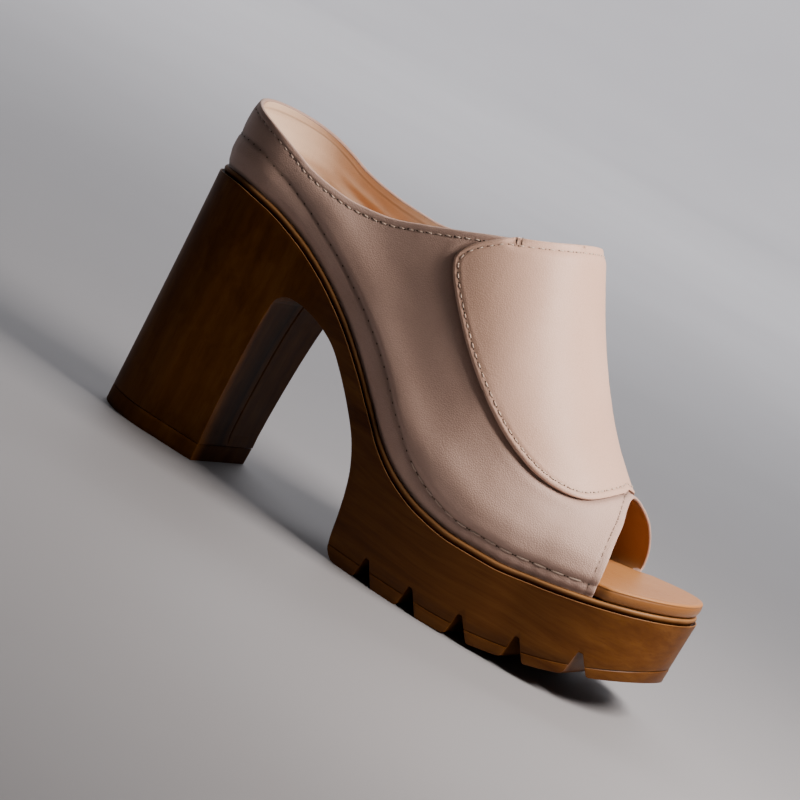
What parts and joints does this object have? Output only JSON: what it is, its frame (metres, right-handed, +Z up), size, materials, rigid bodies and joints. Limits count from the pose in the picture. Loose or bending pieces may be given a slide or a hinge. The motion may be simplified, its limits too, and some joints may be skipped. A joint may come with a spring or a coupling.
{
  "type": "peep-toe platform mule",
  "caption": "Peep-toe leather mule for the right foot on a moulded wood-look platform with cleated tread and a high block heel.",
  "frame": {"origin": "centre of the bounding box on the floor, which is the plane z = 0 that the heel's top piece and the first lugs stand on", "axes": "+X from the heel to the toe, +Y to the inner (big toe) side of this right shoe, +Z up"},
  "size_m": [0.2324, 0.0852, 0.1373],
  "materials": {
    "sole": "satin, stained wood look",
    "top_piece": "satin",
    "insole_leather": "satin",
    "upper_leather": "soft satin nappa",
    "overlay_leather": "soft satin nappa"
  },
  "bodies": {
    "root": {"sole_unit": "sole", "heel_top_piece": "top_piece", "insole": "insole_leather", "upper": "upper_leather", "vamp_overlay": "overlay_leather"}
  },
  "joints": []
}
